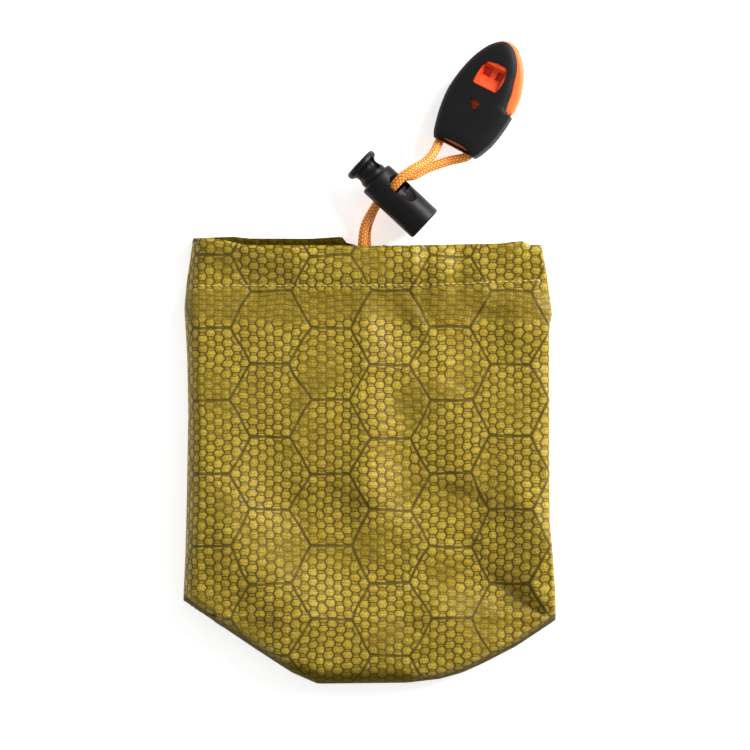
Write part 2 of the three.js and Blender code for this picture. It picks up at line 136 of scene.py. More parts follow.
def baked(piece):
    """Replaces a piece's mesh by the one that its modifiers give."""
    graph = bpy.context.evaluated_depsgraph_get()
    mesh = bpy.data.meshes.new_from_object(piece.evaluated_get(graph), depsgraph=graph)
    piece.modifiers.clear()
    piece.data = mesh


def carve(piece, cutters, operation="DIFFERENCE"):
    """Cuts closed pieces out of a piece, or joins them to it, and removes them."""
    for cutter in cutters:
        cut = piece.modifiers.new("cut", "BOOLEAN")
        cut.operation = operation
        cut.solver = "EXACT"
        cut.object = cutter
    baked(piece)
    for cutter in cutters:
        bpy.data.objects.remove(cutter)


def soften(piece, width, segments):
    """Rounds a piece's edges where it turns by more than 32 degrees."""
    bevel = piece.modifiers.new("soften", "BEVEL")
    bevel.width = width * MM
    bevel.segments = segments
    bevel.limit_method = "ANGLE"
    bevel.angle_limit = math.radians(32)
    piece.modifiers.new("even", "WEIGHTED_NORMAL").keep_sharp = True


def spun(profile, name, material, body="sack"):
    """A closed piece turned round the X axis from a profile of (x, radius) points."""
    bm = bmesh.new()
    ring = [bm.verts.new(place(x, r, 0)) for x, r in profile]
    edges = [bm.edges.new(pair) for pair in zip(ring, ring[1:])]
    bmesh.ops.spin(
        bm, geom=ring + edges, cent=(0, 0, 0), axis=(1, 0, 0), angle=2 * math.pi, steps=72,
        use_merge=True,
    )
    weld(bm, 0.002)
    bmesh.ops.recalc_face_normals(bm, faces=bm.faces)
    return piece_from(bm, name, material, body)


def prism(points, low, high):
    """A closed cutter with that outline in X and Y, from one height to another."""
    bm = bmesh.new()
    base = bm.faces.new([bm.verts.new(place(x, y, low)) for x, y in points])
    made = bmesh.ops.extrude_face_region(bm, geom=[base])["geom"]
    verts = [v for v in made if isinstance(v, bmesh.types.BMVert)]
    bmesh.ops.translate(bm, vec=(0, 0, (high - low) * MM), verts=verts)
    bmesh.ops.recalc_face_normals(bm, faces=bm.faces)
    return piece_from(bm, "cutter", core_orange, body=None)


def ball(centre, radii):
    """A closed cutter shaped like a stretched ball."""
    bm = bmesh.new()
    bmesh.ops.create_uvsphere(bm, u_segments=48, v_segments=24, radius=1.0)
    bmesh.ops.scale(bm, vec=[r * MM for r in radii], verts=bm.verts)
    bmesh.ops.translate(bm, vec=place(*centre), verts=bm.verts)
    return piece_from(bm, "cutter", core_orange, body=None)


def rounded_box(wide, high, radius):
    """Outline of a rectangle round the origin with rounded corners."""
    points, steps = [], 5
    for k, (sx, sy) in enumerate(((1, 1), (-1, 1), (-1, -1), (1, -1))):
        for n in range(steps + 1):
            angle = math.pi / 2 * (k + n / steps)
            x = sx * (wide / 2 - radius) + radius * math.cos(angle)
            y = sy * (high / 2 - radius) + radius * math.sin(angle)
            points.append((x, y))
    return points


def move_mesh(piece, matrix):
    """Moves a piece's points by a matrix given in millimetres; its object stays at the origin."""
    scaled = matrix.copy()
    scaled.translation = matrix.translation * MM
    piece.data.transform(scaled)


# Materials


def srgb(code):
    """A hex colour as linear red, green, blue and alpha."""
    values = [int(code[i : i + 2], 16) / 255 for i in (1, 3, 5)]
    linear = [v / 12.92 if v <= 0.04045 else ((v + 0.055) / 1.055) ** 2.4 for v in values]
    return (*linear, 1.0)


def add_node(tree, kind, inputs=(), stops=(), **settings):
    """A node with its settings. inputs holds values, sockets, or nodes that give their first output
    in use, in the order of the node's sockets or by their names. stops are a colour ramp's."""
    node = tree.nodes.new("ShaderNode" + kind)
    for name, value in settings.items():
        setattr(node, name, value)
    for key, value in inputs.items() if isinstance(inputs, dict) else enumerate(inputs):
        if isinstance(value, bpy.types.Node):
            value = next(socket for socket in value.outputs if socket.enabled)
        if isinstance(value, bpy.types.NodeSocket):
            tree.links.new(value, node.inputs[key])
        else:
            node.inputs[key].default_value = value
    for _ in stops[2:]:
        node.color_ramp.elements.new(0.5)
    for number, (position, colour) in enumerate(stops):
        node.color_ramp.elements[number].position = position
        node.color_ramp.elements[number].color = srgb(colour)
    return node


def new_material(name):
    """A material without nodes, and the function that adds nodes to it."""
    material = bpy.data.materials.new(name)
    material.use_nodes = True
    material.node_tree.nodes.clear()
    return material, partial(add_node, material.node_tree)


def finished(material, inputs):
    """The material, once its surface has these inputs."""
    surface = add_node(material.node_tree, "BsdfPrincipled", inputs)
    add_node(material.node_tree, "OutputMaterial", {"Surface": surface})
    return material


# The weave, measured on the cloth in millimetres
CELL_ROW = 4.157
CELL_COLUMN = 3.43
CELLS_PER_COMB = 7
COMB_PHASE = (-64.0, 38.35)
FLAT = (302.0, 215.0)  # cut size that the UV map stands for
WANDER = (4.0, 3.0, 0.0)  # how far rows and columns stray along the cloth and up it,
THREAD_WANDER = (3.0, 3.0, 0.0)  # the square grid's threads against them,
TUG = (1.2, 1.0, 0.0)  # and one cell against the next
THREAD_LINE = (0.1, 0.36)  # a thread fades out between these distances from its middle
SMOOTH_BAND = 62.0  # middle of the smooth cloth below the hem
CELL_SPACING = (0.5, 0.5, 0.5)  # hexagon middles are rounded to this, so that a cell has one shade
MIDDLE_GREY = (0.5, 0.5, 0.5)

# Where lines fade in, as shares of the way from a hexagon's middle, 0, to its edge, 1
SLANT_LINE = (0.75, 0.92)
LEVEL_LINE = (0.76, 0.93)
COMB_LINE = (0.945, 0.975)
SPLIT_AT = 0.68
SPLIT_LINE = (0.04, 0.15)

CORD_UV = 200.0  # millimetres of cord to one unit of its UV map


def honeycomb(add, point, row, column):
    """Distance from a hexagon's middle, 0, to its edge, 1, the same to its slanted and to its level
    sides alone, and the hexagon's middle: a flat-topped honeycomb, rows and columns that far apart."""
    half_wide = row * math.sqrt(0.75)
    regular = add("VectorMath", [point, (half_wide / column, 1.0, 0.0)], operation="MULTIPLY")
    half = (half_wide, row / 2, 1.0)
    minus = tuple(-h for h in half)
    first = add("VectorMath", [regular, half, minus], operation="WRAP")
    moved = add("VectorMath", [regular, half], operation="ADD")
    second = add("VectorMath", [moved, half, minus], operation="WRAP")
    first_far = add("VectorMath", [first], operation="LENGTH")
    second_far = add("VectorMath", [second], operation="LENGTH")
    nearer = add("Math", [second_far, first_far], operation="LESS_THAN")
    inside = add("Mix", {"Factor": nearer, "A": first, "B": second}, data_type="VECTOR")
    size = add("VectorMath", [inside], operation="ABSOLUTE")
    slanted = add("VectorMath", [size, (math.sqrt(0.75), 0.5, 0.0)], operation="DOT_PRODUCT")
    level = add("VectorMath", [size, (0.0, 1.0, 0.0)], operation="DOT_PRODUCT")
    slant_reach = add("Math", [slanted, row / 2], operation="DIVIDE")
    level_reach = add("Math", [level, row / 2], operation="DIVIDE")
    reach = add("Math", [slant_reach, level_reach], operation="MAXIMUM")
    middle = add("VectorMath", [regular, inside], operation="SUBTRACT")
    return reach, slant_reach, level_reach, middle


def ripstop_material(name, shade):
    """Coated nylon ripstop: small domed honeycomb cells with dark outlines, larger combs drawn over
    them, and a square grid of strong threads that splits some cells. Satin, not glossy."""
    material, add = new_material(name)
    uv = add("UVMap", uv_map="flat")
    flat_mm = add("VectorMath", [uv, (*FLAT, 1.0)], operation="MULTIPLY")
    phased = add("VectorMath", [flat_mm, (*COMB_PHASE, 0.0)], operation="SUBTRACT")
    drift = add("TexNoise", {"Vector": phased, "Scale": 0.045, "Detail": 1.0})
    drift = add("VectorMath", [drift.outputs["Color"], MIDDLE_GREY], operation="SUBTRACT")
    bent = add("VectorMath", [drift, WANDER, phased], operation="MULTIPLY_ADD")
    tug = add("TexNoise", {"Vector": phased, "Scale": 0.32, "Detail": 1.0})
    tug = add("VectorMath", [tug.outputs["Color"], MIDDLE_GREY], operation="SUBTRACT")
    pulled = add("VectorMath", [tug, TUG, bent], operation="MULTIPLY_ADD")
    cell, cell_slant, cell_level, cell_middle = honeycomb(add, pulled, CELL_ROW, CELL_COLUMN)
    comb = honeycomb(add, bent, CELL_ROW * CELLS_PER_COMB, CELL_COLUMN * CELLS_PER_COMB)[0]

    # Where the cloth is smooth, below the hem and in patches, the square grid outweighs the cells.
    spot = add("TexNoise", {"Vector": phased, "Scale": 0.035, "Detail": 2.0})
    row = add("SeparateXYZ", [flat_mm]).outputs["Y"]
    from_band = add("Math", [row, SMOOTH_BAND], operation="SUBTRACT")
    off_band = add("Math", [from_band], operation="ABSOLUTE")
    band = add("MapRange", [off_band, 3.0, 9.0, 0.28, 0.0], interpolation_type="SMOOTHSTEP")
    spot = add("Math", [spot, band], operation="ADD")
    squareness = add("MapRange", [spot, 0.5, 0.75], interpolation_type="SMOOTHSTEP")

    # Threads of the square grid: they wander against the cells, so that they split only some.
    strayed = add("VectorMath", [drift, THREAD_WANDER, bent], operation="MULTIPLY_ADD")
    square = (CELL_COLUMN / 2, CELL_ROW / 4, 1.0)
    minus = tuple(-s for s in square)
    in_square = add("VectorMath", [strayed, square, minus], operation="WRAP")
    in_square = add("VectorMath", [in_square], operation="ABSOLUTE")
    across_and_up = add("SeparateXYZ", [in_square]).outputs
    threads = [
        add("MapRange", [far, *THREAD_LINE, strength, 0.0], interpolation_type="SMOOTHSTEP")
        for far, strength in zip(across_and_up, (0.7, 1.0))
    ]
    thread = add("Math", threads, operation="MAXIMUM")
    thread_share = add("Math", [squareness, 0.3, 0.3], operation="MULTIPLY_ADD")
    thread = add("Math", [thread, thread_share], operation="MULTIPLY")

    # Level sides have one dark line, or where the cell is split a light bar between two dark lines.
    slant_line = add("MapRange", [cell_slant, *SLANT_LINE], interpolation_type="SMOOTHSTEP")
    level_line = add("MapRange", [cell_level, *LEVEL_LINE], interpolation_type="SMOOTHSTEP")
    off_bar = add("Math", [cell_level, SPLIT_AT], operation="SUBTRACT")
    off_bar = add("Math", [off_bar], operation="ABSOLUTE")
    bar_line = add("MapRange", [off_bar, *SPLIT_LINE, 1.0, 0.0], interpolation_type="SMOOTHSTEP")
    split = add("TexNoise", {"Vector": cell_middle, "Scale": 0.12, "Detail": 2.0})
    split = add("MapRange", [split, 0.37, 0.47])
    side_line = add("Mix", {"Factor": split, "A": level_line, "B": bar_line})
    outline = add("Math", [slant_line, side_line], operation="MAXIMUM")
    cell_share = add("Math", [squareness, -0.62, 0.92], operation="MULTIPLY_ADD")
    outline = add("Math", [outline, cell_share], operation="MULTIPLY")

    # The combs' lines are fainter in some patches than in others.
    patch = add("TexNoise", {"Vector": phased, "Scale": 0.09, "Detail": 3.0})
    comb_line = add("MapRange", [comb, *COMB_LINE], interpolation_type="SMOOTHSTEP")
    comb_share = add("MapRange", [patch, 0.35, 0.65, 0.78, 0.96])
    comb_dark = add("Math", [comb_line, comb_share], operation="MULTIPLY")
    dark = add("Math", [outline, thread], operation="MAXIMUM")
    dark = add("Math", [dark, comb_dark], operation="MAXIMUM")

    # Brightness differs a little from patch to patch and cell to cell, and more between filaments:
    # partly their own tone and partly painted glints. The middle of each cell is painted lighter, a
    # painted highlight on its dome.
    own = add("VectorMath", [cell_middle, CELL_SPACING], operation="SNAP")
    own = add("TexWhiteNoise", {"Vector": own})
    filament = add("TexNoise", {"Vector": flat_mm, "Scale": 1.5, "Detail": 3.0, "Roughness": 0.7})
    bright = add("Math", [patch, 0.2], operation="MULTIPLY")
    for part, weight in ((own, 0.08), (filament, 0.9), (cell, -0.2), (squareness, -0.16)):
        bright = add("Math", [part, weight, bright], operation="MULTIPLY_ADD")
    light_stops = [(0.25, "#8f7716"), (0.45, "#af9427"), (0.7, "#dec349")]
    cell_colour = add("ValToRGB", [bright], light_stops)
    line_colour = add("ValToRGB", [comb_line], [(0.0, "#534008"), (1.0, "#55450c")])
    colour = add("Mix", {"Factor": dark, "A": cell_colour, "B": line_colour}, data_type="RGBA")

    # Painted shade: where the attribute level marks the bottom edge and the back's rim inside the
    # mouth, and by shade over a whole face, the colour is darkened towards a shadow brown and the gloss
    # lowered.
    painted_shade = add("Attribute", attribute_name="level").outputs["Fac"]
    painted_shade = add("Math", [painted_shade, 0.85, shade], operation="MULTIPLY_ADD", use_clamp=True)
    gloss = add("Math", [painted_shade, -0.34, 0.3], operation="MULTIPLY_ADD")
    colour = add("Mix", {"Factor": painted_shade, "A": colour, "B": srgb("#45390a")}, data_type="RGBA")

    height = add("MapRange", [cell, 0.2, 1.0, 1.0, 0.0])
    for part, weight in ((thread, -0.4), (comb_line, -0.6), (filament, 0.6)):
        height = add("Math", [part, weight, height], operation="MULTIPLY_ADD")
    bump = add("Bump", {"Strength": 0.7, "Distance": 0.3 * MM, "Height": height})
    return finished(
        material,
        {"Base Color": colour, "Specular IOR Level": gloss, "Normal": bump, "Roughness": 0.5},
    )


def braid_material():
    """Braided polyester: fine filaments in one orange, with painted shade between the plaits and
    painted highlights on their tops.
    """
    material, add = new_material("braided_polyester_cord")
    # the plait's height, kept as the attribute level, picks the colour: deep orange-brown painted shade
    # low in the gaps, pale yellow painted highlights on the tops
    plait = add("Attribute", attribute_name="level").outputs["Fac"]
    stops = [(0.0, "#9e3402"), (0.42, "#f66c06"), (0.68, "#ffa42c"), (0.96, "#ffe688")]
    colour = add("ValToRGB", [plait], stops)
    uv = add("UVMap", uv_map="flat")
    fibre = add("TexNoise", {"Vector": uv, "Scale": 1.3 * CORD_UV, "Detail": 2.0})
    bump = add("Bump", {"Strength": 0.3, "Distance": 0.1 * MM, "Height": fibre})
    return finished(material, {"Base Color": colour, "Normal": bump, "Roughness": 0.5})


def moulded_material(name, dark, light, painted_rim_highlight, roughness, grain):
    """Injection-moulded plastic: one colour with a faint cloud in it and a fine spark-eroded grain.
    The rim, marked by the attribute level, is painted paler: a painted highlight."""
    material, add = new_material(name)
    at = add("TexCoord").outputs["Object"]
    cloud = add("TexNoise", {"Vector": at, "Scale": 120.0, "Detail": 3.0})
    body = add("ValToRGB", [cloud], [(0.3, dark), (0.7, light)])
    rim = add("Attribute", attribute_name="level").outputs["Fac"]
    colour = add("Mix", {"Factor": rim, "A": body, "B": srgb(painted_rim_highlight)}, data_type="RGBA")
    pits = add("TexNoise", {"Vector": at, "Scale": 2600.0, "Detail": 1.0})
    bump = add("Bump", {"Strength": grain, "Distance": 0.05 * MM, "Height": pits})
    look = {"Base Color": colour, "Normal": bump, "Roughness": roughness}
    return finished(material, {**look, "Specular IOR Level": 0.28})


def thread_material():
    """Bonded sewing thread in the cloth's colour, a little lighter, with a faint twist in its tone."""
    material, add = new_material("bonded_sewing_thread")
    at = add("TexCoord").outputs["Object"]
    twist = add("TexNoise", {"Vector": at, "Scale": 900.0, "Detail": 1.0})
    colour = add("ValToRGB", [twist], [(0.3, "#b8a24e"), (0.7, "#d9c777")])
    return finished(material, {"Base Color": colour, "Roughness": 0.55})


ripstop = ripstop_material("honeycomb_ripstop_nylon", 0.0)
# the inner face is darkened all over by 0.65 of the painted shade
coated_inside_painted_shade = ripstop_material("ripstop_nylon_coated_inside", 0.65)
braid = braid_material()
thread = thread_material()
# colours of the cloud, dark and light, then of the rim: the orange core's paler rim is a painted
# highlight
lock_black = moulded_material("moulded_acetal_black", "#09090a", "#0e0e0f", "#0e0e0f", 0.42, 0.25)
shell_black = moulded_material("moulded_soft_touch_black", "#0b0b0c", "#101011", "#101011", 0.6, 0.35)
core_orange = moulded_material("moulded_abs_orange", "#f24a1e", "#fc6030", "#f87e40", 0.38, 0.1)


# Lock and whistle frames, and the cord's route, as in the solids
CORD_DIAMETER = 3.8
CORD_AT = 7.6
HOLE_LEAN = 54.0
LOCK_MOUTH = Vector((2.2, 112.8, 10.2))
LOCK_TURN = -43.0
WHISTLE_BASE = Vector((33.6, 124.8, 7.9))
WHISTLE_TURN = -28.3
WHISTLE_ROLL = -13.0
CORD_EYE_REACH = 6.4
CORD_EYE_HALF = 6.6

lock_frame = Matrix.Translation(LOCK_MOUTH) @ Matrix.Rotation(math.radians(LOCK_TURN), 4, "Z")
whistle_frame = (
    Matrix.Translation(WHISTLE_BASE)
    @ Matrix.Rotation(math.radians(WHISTLE_TURN), 4, "Z")
    @ Matrix.Rotation(math.radians(WHISTLE_ROLL), 4, "Y")
)


def lock_crossing():
    """Middle line of the pair of strands across the barrel: (y, z, climb) in the lock's frame."""
    lean = math.radians(HOLE_LEAN)
    bend, half, steps = 8.2, 1.6, 5
    rows = []
    for k in range(steps + 1):
        angle = lean * k / steps
        y = -half * math.cos(lean) - bend * (math.sin(lean) - math.sin(angle))
        z = -half * math.sin(lean) - bend * (math.cos(angle) - math.cos(lean))
        rows.append((y, z, angle))
    return rows + [(-y, -z, climb) for y, z, climb in reversed(rows)]


def strand_in_lock(side):
    """One strand across the barrel; side is 1 for the upper strand and -1 for the lower."""
    apart = (CORD_DIAMETER / 2 + 0.12) * side
    return [
        lock_frame @ Vector((CORD_AT, y - apart * math.sin(climb), z + apart * math.cos(climb)))
        for y, z, climb in lock_crossing()
    ]


def eye_line():
    """The cord's half turn through the whistle's base."""
    points = []
    for k in range(9):
        angle = math.pi * (1 - k / 8)
        spot = Vector((CORD_EYE_HALF * math.cos(angle), CORD_EYE_REACH * math.sin(angle), 0.0))
        points.append(whistle_frame @ spot)
    return points


HEM_TO_LOCK_UPPER = [
    (-20.4, 78.4, 3.2), (-15.0, 78.4, 3.2), (-10.0, 78.4, 3.2), (-5.7, 79.8, 4.2),
    (-3.4, 83.3, 5.4), (-2.9, 88.0, 6.0), (-1.9, 94.0, 6.1),
]
HEM_TO_LOCK_LOWER = [
    (17.6, 78.4, 3.2), (12.4, 78.4, 3.2), (7.2, 78.4, 3.1), (2.4, 79.7, 2.5),
    (-0.4, 83.0, 2.15), (-1.5, 88.0, 2.1), (-0.9, 94.0, 2.1),
]
LOCK_TO_WHISTLE_UPPER = [(17.4, 116.3, 15.9), (22.0, 119.0, 13.2), (25.3, 122.6, 10.6)]
LOCK_TO_WHISTLE_LOWER = [
    (17.2, 113.7, 12.0), (22.2, 116.3, 10.4), (27.2, 118.3, 9.0), (32.0, 119.8, 8.1),
]


def rounded_line(points, step):
    """Points a step apart on a centripetal curve through the given ones."""
    points = [Vector(p) for p in points]
    ends = [points[0] * 2 - points[1], *points, points[-1] * 2 - points[-2]]
    fine = [points[0]]
    for a, b, c, d in zip(ends, ends[1:], ends[2:], ends[3:]):
        spans = [max(1e-6, (q - p).length ** 0.5) for p, q in ((a, b), (b, c), (c, d))]
        out = (b - a) / spans[0] - (c - a) / (spans[0] + spans[1]) + (c - b) / spans[1]
        into = (c - b) / spans[1] - (d - b) / (spans[1] + spans[2]) + (d - c) / spans[2]
        out, into = out * spans[1], into * spans[1]
        for k in range(1, 25):
            t = k / 24
            start, end = 2 * t**3 - 3 * t**2 + 1, 3 * t**2 - 2 * t**3
            fine.append(b * start + out * (t**3 - 2 * t**2 + t) + c * end + into * (t**3 - t**2))
    far = [0.0]
    for p, q in zip(fine, fine[1:]):
        far.append(far[-1] + (q - p).length)
    count = round(far[-1] / step)
    line, k = [], 0
    for n in range(count + 1):
        at = far[-1] * n / count
        while k < len(far) - 2 and far[k + 1] < at:
            k += 1
        line.append(fine[k].lerp(fine[k + 1], clamp01((at - far[k]) / (far[k + 1] - far[k]))))
    return line, far[-1]


def frames_along(line):
    """For each point of a line, two directions square to it that turn with it as little as possible."""
    tangents = [
        (line[min(k + 1, len(line) - 1)] - line[max(k - 1, 0)]).normalized()
        for k in range(len(line))
    ]
    side = tangents[0].cross(Vector((0, 0, 1))).normalized()
    frames = []
    for tangent in tangents:
        side = (side - tangent * side.dot(tangent)).normalized()
        frames.append((side, tangent.cross(side)))
    return frames


def tube(line, around, radius, flat=None, level=None):
    """A closed tube round a line. radius(u, v) gives its radius round it and along it."""
    frames = frames_along(line)
    last = len(line) - 1

    def surface(u, v):
        k = round(v * last)
        side, up = frames[k]
        angle = 2 * math.pi * u
        return line[k] + (side * math.cos(angle) + up * math.sin(angle)) * radius(u, v)

    bm = mapped_grid(around, last, surface, flat, level)
    weld(bm)
    close_ends(bm)
    return bm


CORD_STEP = 0.3
CORD_AROUND = 80
BRAID_YARNS = 10  # each way round the cord
BRAID_LAY = 15.0  # one yarn goes once round in this length
BRAID_RELIEF = 0.3


def plait_height(turn, far):
    """Height of the braid's surface, 0 to 1: yarns both ways round, each over two and under two."""
    a = BRAID_YARNS * (turn + far / BRAID_LAY)
    b = BRAID_YARNS * (turn - far / BRAID_LAY)
    order = (math.floor(a) + math.floor(b)) % 4
    fa, fb = a - math.floor(a), b - math.floor(b)
    if order < 2:
        across, over = fa, (order + fb) / 2
    else:
        across, over = fb, (order - 2 + fa) / 2
    return math.sin(math.pi * across) ** 0.6 * (0.45 + 0.55 * math.sin(math.pi * over))


def drawcord():
    """One round braid from the hem through lock and whistle and back to the hem."""
    route = [
        *HEM_TO_LOCK_UPPER,
        *strand_in_lock(1),
        *LOCK_TO_WHISTLE_UPPER,
        *eye_line(),
        *reversed(LOCK_TO_WHISTLE_LOWER),
        *reversed(strand_in_lock(-1)),
        *reversed(HEM_TO_LOCK_LOWER),
    ]
    line, length = rounded_line(route, CORD_STEP)
    bm = tube(
        line,
        CORD_AROUND,
        radius=lambda u, v: CORD_DIAMETER / 2 - BRAID_RELIEF * (1 - plait_height(u, v * length)),
        flat=lambda u, v: (u * math.pi * CORD_DIAMETER / CORD_UV, v * length / CORD_UV),
        level=lambda u, v: plait_height(u, v * length),
    )
    piece = piece_from(bm, "braided_drawcord", braid)
    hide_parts("drawcord")
    return piece, line, length


cord, cord_line, cord_length = drawcord()


# The cloth, as it lies: outline tables of (y, x) for the sides and (x, y) for the rest
WALL = 0.32
EDGE_MIDDLE = 1.2
EDGE_OUT = 0.65  # the front stands out this far beyond the fold line that it hides
EDGE_TUCK = 1.6
BELLY_Y, BELLY_HEIGHT = 10.0, 12.6
MOUTH_Y, MOUTH_HEIGHT = 80.0, 10.6
LEFT_SIDE = [
    (-55.8, -74.8), (-38.4, -74.0), (-16.0, -73.4), (18.8, -72.8),
    (41.0, -73.2), (60.8, -74.4), (72.0, -73.4), (88.8, -70.8),
]
RIGHT_SIDE = [
    (-63.8, 74.4), (-52.2, 74.1), (-40.0, 73.2), (-24.0, 71.8),
    (52.8, 71.8), (58.5, 72.9), (72.0, 71.2), (86.0, 68.6),
]
BOTTOM_EDGE = [
    (-74.8, -55.8), (-45.3, -75.9), (-31.0, -85.3), (-20.8, -89.8), (14.8, -89.4),
    (27.9, -87.8), (36.9, -85.2), (45.2, -81.4), (58.4, -74.5), (74.4, -63.8),
]
FRONT_RIM = [
    (-70.8, 88.8), (-64.8, 88.6), (-57.0, 87.2), (-51.0, 85.9), (10.0, 85.7),
    (56.0, 86.6), (65.2, 87.6), (68.6, 86.0),
]
BACK_RIM = [
    (-70.8, 88.8), (-66.0, 89.2), (-56.0, 89.5), (-48.0, 88.8), (-20.0, 88.7), (-6.2, 89.5),
    (-4.0, 87.0), (6.0, 85.2), (68.6, 86.0),
]
STITCH_LINE = [(-74.0, 69.7), (20.0, 69.9), (74.0, 72.2)]
BOTTOM_ROW, TOP_ROW = -89.8, 86.0
BOTTOM_ENDS = -74.8, 74.4
LEFT_ROUND, RIGHT_ROUND, BOTTOM_ROUND = 7.0, 1.6, 5.5  # how far in the front reaches full height
HEM_CROWN = 0.5
STITCH_DIP, STITCH_DIP_HALF = 0.5, 1.1
RIPPLE = 0.22

# Folds of the front: x and y of both ends, rise and half width, and a second half
# width where the right of the way from the first end to the second isn't as wide as the left
FOLDS = [
    # the broad lie of the cloth
    (-3.4, 66, -3.6, -16, 0.5, 5, 3),  # seam ridge
    (20, 54, 20, -10, -0.6, 10),  # trough beside the ridge
    (-26, -20, 44, -24, -1.6, 10),  # trough across
    (-30, -74, 45, -72, 0.7, 16, 10),  # lower swell
    (-60, -10, -50, -46, 0.6, 12),  # left swell
    (48, -60, 68, -64, 0.8, 4),  # corner swell
    (-64, -44, -46, -66, -1.4, 8),  # lower left dip
    (-64, 89, -10, 89, 2.2, 13),  # rim lift
    # facets under the hem
    (4, 66, 18, 50, -0.5, 3.0),  # facet valley
    (20, 40, 39, 29, -0.7, 3.0),  # facet edge
    (-2, 37, 16, 37, 0.5, 2.6),  # facet foot
    (42, 58, 69, 56.5, -0.9, 2.6),  # dip under the hem
    # crumples in the trough
    (-24, -6, -9, -7, -0.55, 2.0), (-18, -12, -15, -12, -0.9, 2.2), (-8, -17, 3, -20.5, -0.8, 2.2),
    (-14, -26, -10, -24, -0.8, 3.0), (9, -35, 12, -36, -1.0, 3.0), (26, -4, 34, -6, -0.8, 2.4),
    (28, -11, 45, -17, -0.8, 2.2), (35, -33, 41, -34, -0.9, 2.2),
    # small peaks among them
    (-27, -13, -24, -11, 0.8, 2.4), (11, -26, 14, -23, 0.8, 2.6), (30, -26, 38, -27, 0.7, 2.6),
    (72, -61, 50, -48, -1.0, 1.8),  # corner crease
    # gathers in the hem
    (22, 83, 22, 67, -0.9, 2.2), (36, 84, 35, 66, -0.9, 2.6), (29, 84, 30, 66, 0.3, 2.2),
    (17, 84, 18, 66, 0.5, 2.0), (52, 68, 62, 68, -0.6, 2.4), (44, 82, 46, 62, 0.5, 2.2),
    (-30, 84, -30, 66, 0.4, 2.4), (-54, 84, -46, 66, -0.5, 2.4),
]

# Facets of the front that slope down to the upper right, towards the lamp, or away from it where
# the slope is negative: middle, half sizes, turn in degrees, slope as fall over run
FACETS = [
    (6, 49, 8, 13, -20, 0.22),  # under the hem
    (20.8, 58, 3.4, 9, 29, 0.5),  # streak
    (7.5, -8, 10.5, 15, 0, 0.44),  # beside the ridge
    (8, 18, 11, 18, 0, 0.26),  # beside the ridge, above
    (30, 36, 12, 11, 0, 0.28),  # right of the trough
    (-45, -22, 16, 22, 18, 0.30),  # left swell
    (-52, 8, 12, 26, 0, 0.08),  # left side
    (-18, -52, 27, 15, 0, 0.28),  # lower left
    (9, -62, 12, 12, 0, 0.22),  # bottom middle
    (18, -51, 17, 7, 0, 0.2),  # lower middle
    (1, 56, 5, 7, 0, 0.2),  # strip, top
    (5, -17, 8, 6, 0, 0.3),  # strip, foot
    (20, 29, 6, 9, 0, 0.26),  # beside the trough
    (-51, -33, 7, 12, 18, 0.2),  # left swell, outer
    (-56, -43, 9, 13, 0, 0.16),  # far left
    (55, 51, 14, 10, 0, -0.28),  # right corner of the hem
    (57, -20, 8, 15, 0, -0.2),  # right ridge, middle
    (39, -57, 20, 13, 0, 0.3),  # lower right
    (-13, -11, 12, 8, 0, -0.06),  # crumpled left
    (34, -11, 12, 7, 0, -0.18),  # crumpled right
    (36, -8, 14, 26, 0, -0.08),  # right middle
    (8, 81, 26, 8, 0, -0.32),  # hem, middle
    (44, 84, 22, 6, 0, -0.28),  # hem, right
    (-34, 76, 40, 9, 0, -0.26),  # hem, left
]
DOWNHILL = (0.82, 0.57)  # in X and Y


def facet_rise(x, y, middle_x, middle_y, half_x, half_y, turn, slope):
    x, y = x - middle_x, y - middle_y
    c, s = math.cos(math.radians(turn)), math.sin(math.radians(turn))
    away = ((x * c + y * s) / half_x) ** 2 + ((y * c - x * s) / half_y) ** 2
    return -slope * (x * DOWNHILL[0] + y * DOWNHILL[1]) * math.exp(-away)


def fold_rise(x, y, x1, y1, x2, y2, rise, half, half_right=None):
    dx, dy = x2 - x1, y2 - y1
    t = clamp01(((x - x1) * dx + (y - y1) * dy) / (dx * dx + dy * dy))
    side = (x - x1) * dy - (y - y1) * dx
    half = lerp(half, half_right or half, smooth(0.5 + side / math.hypot(dx, dy) / 4))
    away = math.hypot(x - x1 - t * dx, y - y1 - t * dy) / half
    return rise * math.exp(-away * away)


# The right side's ridge: y, where its rise starts, and its height. Its crest zigzags with the combs.
RIGHT_RIDGE = [
    (-64.0, 73.0, 0.2), (-59.5, 67.0, 2.8), (-55.0, 60.5, 4.4), (-44.0, 46.0, 5.8),
    (-33.0, 38.0, 6.6), (-20.0, 42.0, 5.8), (-8.0, 47.0, 3.6), (25.0, 46.0, 2.0),
    (58.0, 50.0, 1.4), (70.0, 52.0, 0.4),
]
COMB_RISE = CELL_ROW * CELLS_PER_COMB
COMB_CORNER = 9.3  # y of one corner of the crest's zigzag
CREST_X, CREST_SWING, CREST_FALL = 65.0, 6.0, 0.25


def right_ridge(x, y):
    start = along([(at, low) for at, low, _ in RIGHT_RIDGE], y)
    height = along([(at, rise) for at, _, rise in RIGHT_RIDGE], y)
    zigzag = 2 * abs(((y - COMB_CORNER) / COMB_RISE + 0.5) % 1 - 0.5)
    crest = CREST_X + CREST_SWING * zigzag
    if x > crest:
        return height - CREST_FALL * (x - crest)
    return height * clamp01((x - start) / (crest - start))


def rounded_side(far, wide):
    """Share of the full height at that distance in from an edge, on a quarter of an ellipse."""
    t = clamp01(far / wide)
    return math.sqrt(1 - (1 - t) ** 2)


def sides_full(x, y):
    left = rounded_side(x - along(LEFT_SIDE, y) + EDGE_OUT, LEFT_ROUND)
    return left * rounded_side(along(RIGHT_SIDE, y) - x + EDGE_OUT, RIGHT_ROUND)


def bottom_full(x, y):
    return rounded_side(y - along(BOTTOM_EDGE, x) + EDGE_OUT, BOTTOM_ROUND)


def peak_height(y):
    return lerp(BELLY_HEIGHT, MOUTH_HEIGHT, smooth((y - BELLY_Y) / (MOUTH_Y - BELLY_Y)))


